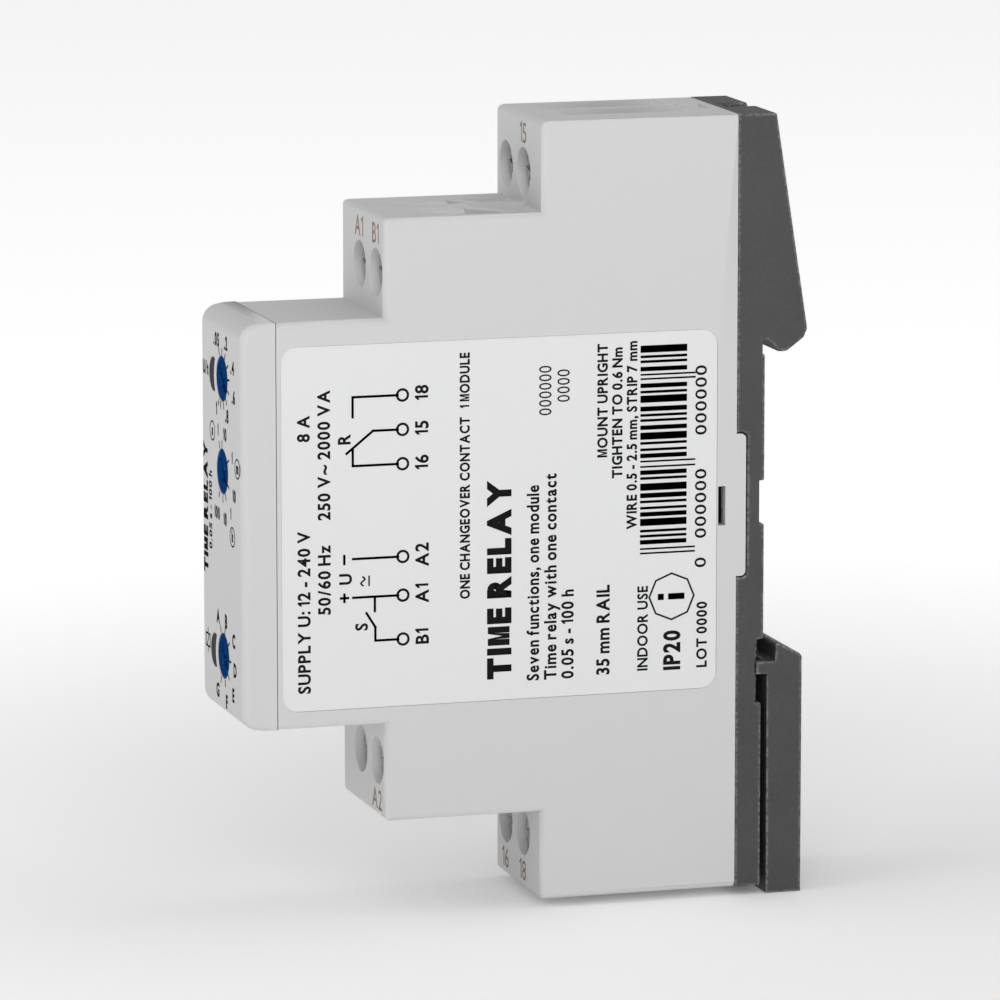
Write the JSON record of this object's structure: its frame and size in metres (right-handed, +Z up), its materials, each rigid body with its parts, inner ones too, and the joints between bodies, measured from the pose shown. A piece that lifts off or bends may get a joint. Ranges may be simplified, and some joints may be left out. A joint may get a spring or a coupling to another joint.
{
  "type": "din rail timer",
  "caption": "One-module rail-mounted time relay with stepped housing, three setting knobs, captive screw clamps, a fixed hook and a sprung rail slider.",
  "frame": {"origin": "centre of the rail seat: the middle of the base plate's flat back face, which lies on the rail", "axes": "+X along the rail, +Y from the front face to the wall, +Z up"},
  "size_m": [0.0176, 0.0649, 0.0879],
  "materials": {
    "housing_grey": "fine-grained matt light grey, self-extinguishing thermoplastic",
    "cap_grey": "fine-grained matt light grey",
    "base_dark": "dark grey glass-filled polyamide, slightly mottled",
    "label_film": "satin white polyester film with black print",
    "knob_blue": "glossy deep blue",
    "light_guide": "smoked translucent",
    "led_green": "tinted clear epoxy",
    "led_red": "tinted clear epoxy",
    "board_green": "green solder resist on glass-epoxy laminate",
    "moulding_black": "black moulding compound",
    "trimmer_blue": "blue moulded plastic",
    "rotor_ivory": "ivory moulded plastic",
    "bobbin_ivory": "ivory moulded plastic",
    "relay_shell": "smooth slate blue plastic",
    "winding": "enamelled copper wire",
    "plated_steel": "zinc-plated steel",
    "spring_steel": "bright spring steel",
    "contact_brass": "tinned brass",
    "ferrite": "sintered ferrite",
    "film_yellow": "yellow capacitor case",
    "sleeve_blue": "dark shrink sleeve",
    "sleeve_black": "black shrink sleeve",
    "coating_blue": "blue epoxy coating",
    "resistor_body": "lacquered carbon film"
  },
  "bodies": {
    "timer": {"housing": "housing_grey", "front_cap": "cap_grey", "base_plate": "base_dark", "slider_spring": "spring_steel", "rating_label": "label_film", "time_trimmer": "trimmer_blue", "range_trimmer": "trimmer_blue", "function_trimmer": "trimmer_blue", "supply_light_guide": "light_guide", "output_light_guide": "light_guide", "supply_led": "led_green", "output_led": "led_red", "main_board": "board_green", "front_board": "board_green", "board_header": "moulding_black", "microcontroller": "moulding_black", "resistors": "resistor_body", "relay_base": "moulding_black", "relay_cover": "relay_shell", "relay_bobbin": "bobbin_ivory", "relay_coil": "winding", "relay_yoke": "plated_steel", "relay_core": "plated_steel", "relay_fixed_contacts": "contact_brass", "transformer_core": "ferrite", "transformer_coil": "winding", "film_capacitor": "film_yellow", "supply_capacitor": "sleeve_blue", "output_capacitor": "sleeve_black", "varistor": "coating_blue", "rectifier": "moulding_black", "terminal_tongues": "contact_brass"},
    "time_knob": {"time_knob": "knob_blue", "time_rotor": "rotor_ivory"},
    "range_knob": {"range_knob": "knob_blue", "range_rotor": "rotor_ivory"},
    "function_knob": {"function_knob": "knob_blue", "function_rotor": "rotor_ivory"},
    "rail_slider": {"rail_slider": "base_dark"},
    "relay_armature": {"relay_armature": "plated_steel", "relay_contact_arm": "contact_brass"},
    "screw_a1": {"screw_a1": "plated_steel"},
    "cage_a1": {"cage_a1": "plated_steel"},
    "screw_b1": {"screw_b1": "plated_steel"},
    "cage_b1": {"cage_b1": "plated_steel"},
    "screw_spare_top": {"screw_spare_top": "plated_steel"},
    "cage_spare_top": {"cage_spare_top": "plated_steel"},
    "screw_15": {"screw_15": "plated_steel"},
    "cage_15": {"cage_15": "plated_steel"},
    "screw_spare_bottom": {"screw_spare_bottom": "plated_steel"},
    "cage_spare_bottom": {"cage_spare_bottom": "plated_steel"},
    "screw_a2": {"screw_a2": "plated_steel"},
    "cage_a2": {"cage_a2": "plated_steel"},
    "screw_16": {"screw_16": "plated_steel"},
    "cage_16": {"cage_16": "plated_steel"},
    "screw_18": {"screw_18": "plated_steel"},
    "cage_18": {"cage_18": "plated_steel"}
  },
  "joints": [
    {"name": "time_knob_turn", "type": "hinge", "parent": "timer", "child": "time_knob", "pos_m": [0.0005, -0.056, 0.0154], "axis": [0, 1, 0], "range_deg": [-145, 65]},
    {"name": "range_knob_turn", "type": "hinge", "parent": "timer", "child": "range_knob", "pos_m": [0.0005, -0.056, 0.0051], "axis": [0, 1, 0], "range_deg": [-145, 65]},
    {"name": "function_knob_turn", "type": "hinge", "parent": "timer", "child": "function_knob", "pos_m": [0.0005, -0.056, -0.0155], "axis": [0, 1, 0], "range_deg": [-145, 65]},
    {"name": "rail_slider_pull", "type": "slide", "parent": "timer", "child": "rail_slider", "axis": [0, 0, -1], "range_m": [0, 0.003], "stiffness_N_per_m": 1000, "springref_m": -0.005, "deforming": ["slider_spring"]},
    {"name": "relay_armature_pull", "type": "hinge", "parent": "timer", "child": "relay_armature", "pos_m": [0.0038, -0.019, -0.0089], "axis": [0, -1, 0], "range_deg": [0, 6], "stiffness_Nm_per_rad": 0.02, "springref_deg": -2.86},
    {"name": "screw_a1_turn", "type": "hinge", "parent": "timer", "child": "screw_a1", "pos_m": [-0.0014, -0.0388, 0.0272], "axis": [0, 1, 0], "range_deg": [0, 1584]},
    {"name": "cage_a1_lift", "type": "slide", "parent": "timer", "child": "cage_a1", "axis": [0, -1, 0], "range_m": [0, 0.0022]},
    {"name": "screw_b1_turn", "type": "hinge", "parent": "timer", "child": "screw_b1", "pos_m": [0.0053, -0.0388, 0.0272], "axis": [0, 1, 0], "range_deg": [0, 1584]},
    {"name": "cage_b1_lift", "type": "slide", "parent": "timer", "child": "cage_b1", "axis": [0, -1, 0], "range_m": [0, 0.0022]},
    {"name": "screw_spare_top_turn", "type": "hinge", "parent": "timer", "child": "screw_spare_top", "pos_m": [-0.005, -0.0209, 0.0372], "axis": [0, 1, 0], "range_deg": [0, 1584]},
    {"name": "cage_spare_top_lift", "type": "slide", "parent": "timer", "child": "cage_spare_top", "axis": [0, -1, 0], "range_m": [0, 0.0022]},
    {"name": "screw_15_turn", "type": "hinge", "parent": "timer", "child": "screw_15", "pos_m": [0.0017, -0.0209, 0.0372], "axis": [0, 1, 0], "range_deg": [0, 1584]},
    {"name": "cage_15_lift", "type": "slide", "parent": "timer", "child": "cage_15", "axis": [0, -1, 0], "range_m": [0, 0.0022]},
    {"name": "screw_spare_bottom_turn", "type": "hinge", "parent": "timer", "child": "screw_spare_bottom", "pos_m": [-0.0014, -0.0388, -0.0272], "axis": [0, 1, 0], "range_deg": [0, 1584]},
    {"name": "cage_spare_bottom_lift", "type": "slide", "parent": "timer", "child": "cage_spare_bottom", "axis": [0, -1, 0], "range_m": [0, 0.0022]},
    {"name": "screw_a2_turn", "type": "hinge", "parent": "timer", "child": "screw_a2", "pos_m": [0.0053, -0.0388, -0.0272], "axis": [0, 1, 0], "range_deg": [0, 1584]},
    {"name": "cage_a2_lift", "type": "slide", "parent": "timer", "child": "cage_a2", "axis": [0, -1, 0], "range_m": [0, 0.0022]},
    {"name": "screw_16_turn", "type": "hinge", "parent": "timer", "child": "screw_16", "pos_m": [-0.005, -0.0209, -0.0372], "axis": [0, 1, 0], "range_deg": [0, 1584]},
    {"name": "cage_16_lift", "type": "slide", "parent": "timer", "child": "cage_16", "axis": [0, -1, 0], "range_m": [0, 0.0022]},
    {"name": "screw_18_turn", "type": "hinge", "parent": "timer", "child": "screw_18", "pos_m": [0.0017, -0.0209, -0.0372], "axis": [0, 1, 0], "range_deg": [0, 1584]},
    {"name": "cage_18_lift", "type": "slide", "parent": "timer", "child": "cage_18", "axis": [0, -1, 0], "range_m": [0, 0.0022]}
  ],
  "couplings": [
    {"joint": "screw_a1_turn", "follows": "cage_a1_lift", "rad_per_m": 12566},
    {"joint": "screw_b1_turn", "follows": "cage_b1_lift", "rad_per_m": 12566},
    {"joint": "screw_spare_top_turn", "follows": "cage_spare_top_lift", "rad_per_m": 12566},
    {"joint": "screw_15_turn", "follows": "cage_15_lift", "rad_per_m": 12566},
    {"joint": "screw_spare_bottom_turn", "follows": "cage_spare_bottom_lift", "rad_per_m": 12566},
    {"joint": "screw_a2_turn", "follows": "cage_a2_lift", "rad_per_m": 12566},
    {"joint": "screw_16_turn", "follows": "cage_16_lift", "rad_per_m": 12566},
    {"joint": "screw_18_turn", "follows": "cage_18_lift", "rad_per_m": 12566}
  ]
}
